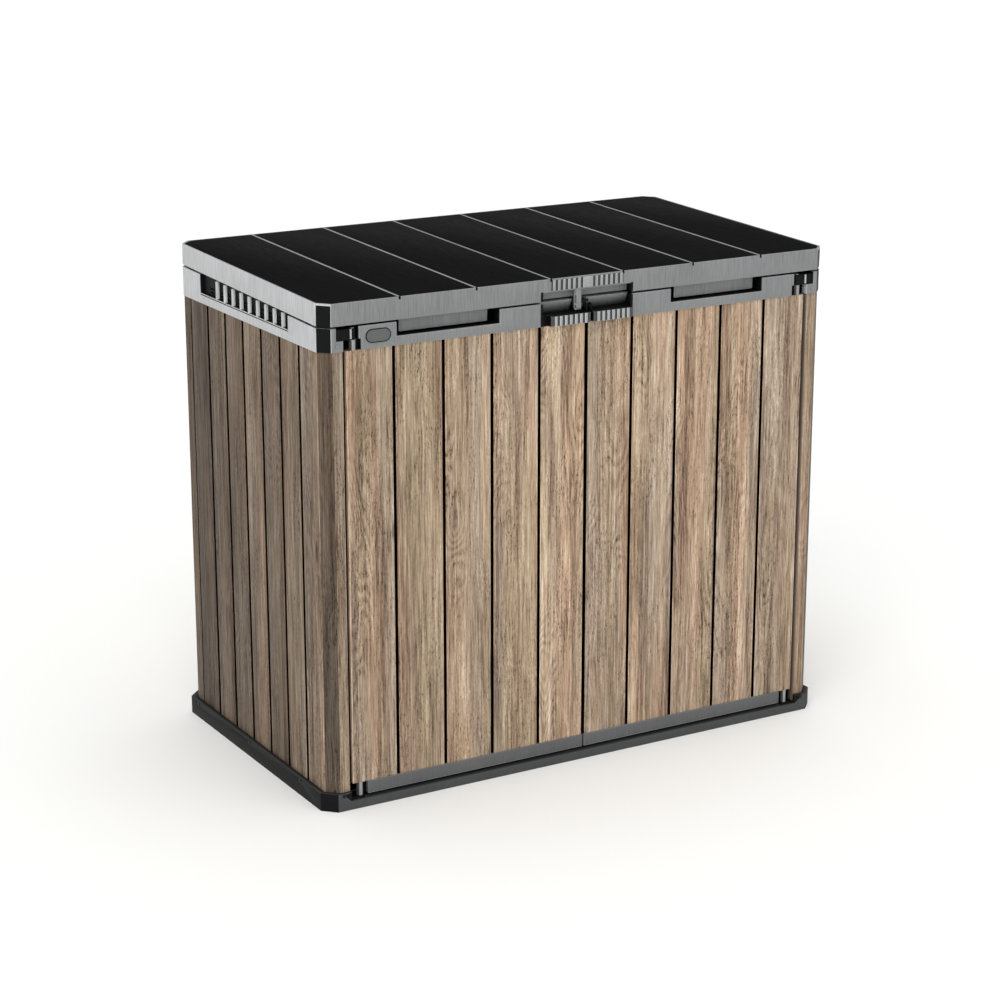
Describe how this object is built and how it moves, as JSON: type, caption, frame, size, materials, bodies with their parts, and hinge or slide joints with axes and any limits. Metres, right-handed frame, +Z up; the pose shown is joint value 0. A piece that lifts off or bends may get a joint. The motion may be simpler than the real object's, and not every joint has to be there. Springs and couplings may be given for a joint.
{
  "type": "deck storage box",
  "caption": "Upright resin deck storage box with wood-look panels, a sloping boarded lid hinged at the back and two front doors with a lockable latch.",
  "frame": {"origin": "on the ground at the centre of the base", "axes": "+Z up, the doors face -Y, +X to the right seen from the front"},
  "size_m": [1.464, 0.847, 1.2691],
  "materials": {
    "wood_resin": "embossed wood grain, taupe brown",
    "grey_resin": "fine brushed satin grey",
    "board_black": "smooth satin near-black",
    "black_resin": "moulded satin black",
    "base_black": "moulded matte charcoal",
    "badge_grey": "satin grey, no lettering",
    "rubber": "matte",
    "zinc_steel": "zinc plated"
  },
  "bodies": {
    "carcass": {"base_tray": "base_black", "base_screws": "zinc_steel", "left_side_panel": "wood_resin", "right_side_panel": "wood_resin", "left_back_panel": "wood_resin", "right_back_panel": "wood_resin", "left_side_rail": "grey_resin", "right_side_rail": "grey_resin", "left_vent_screen": "black_resin", "right_vent_screen": "black_resin", "back_rail": "grey_resin", "left_corner_cap": "black_resin", "right_corner_cap": "black_resin", "frame_screws": "zinc_steel", "lid_bumpers": "rubber", "left_door_brackets": "black_resin", "right_door_brackets": "black_resin", "left_door_pins": "zinc_steel", "right_door_pins": "zinc_steel", "lid_hinge_seats": "black_resin", "lid_hinge_pins": "zinc_steel"},
    "lid": {"lid_shell": "grey_resin", "lid_board_1": "board_black", "lid_board_2": "board_black", "lid_board_3": "board_black", "lid_board_4": "board_black", "lid_board_5": "board_black", "lid_board_6": "board_black", "lid_board_7": "board_black", "left_lid_cap": "black_resin", "right_lid_cap": "black_resin", "lid_grip": "grey_resin", "lid_lug": "grey_resin", "lid_hinge_leaves": "black_resin"},
    "left_door": {"left_door_panel": "wood_resin", "left_door_top_rail": "black_resin", "left_rail_cover": "grey_resin", "left_door_bottom_rail": "grey_resin", "left_scoop": "grey_resin", "left_door_grip": "grey_resin", "left_door_knuckles": "grey_resin", "left_door_stiles": "black_resin", "left_door_eye": "black_resin", "badge": "badge_grey"},
    "right_door": {"right_door_panel": "wood_resin", "right_door_top_rail": "black_resin", "right_rail_cover": "grey_resin", "right_door_bottom_rail": "grey_resin", "right_scoop": "grey_resin", "right_door_grip": "grey_resin", "right_door_knuckles": "grey_resin", "right_door_stiles": "black_resin", "right_door_eye": "grey_resin"},
    "latch": {"turn_latch": "black_resin"}
  },
  "joints": [
    {"name": "lid_hinge", "type": "hinge", "parent": "carcass", "child": "lid", "pos_m": [0, 0.409, 1.2125], "axis": [-1, 0, 0], "range_deg": [0, 95]},
    {"name": "left_door_hinge", "type": "hinge", "parent": "carcass", "child": "left_door", "pos_m": [-0.634, -0.4035, 0.6], "axis": [0, 0, -1], "range_deg": [0, 105]},
    {"name": "right_door_hinge", "type": "hinge", "parent": "carcass", "child": "right_door", "pos_m": [0.634, -0.4035, 0.6], "axis": [0, 0, 1], "range_deg": [0, 105]},
    {"name": "latch_turn", "type": "hinge", "parent": "left_door", "child": "latch", "pos_m": [-0.007, -0.405, 1.186], "axis": [0, -1, 0], "range_deg": [0, 180]}
  ]
}
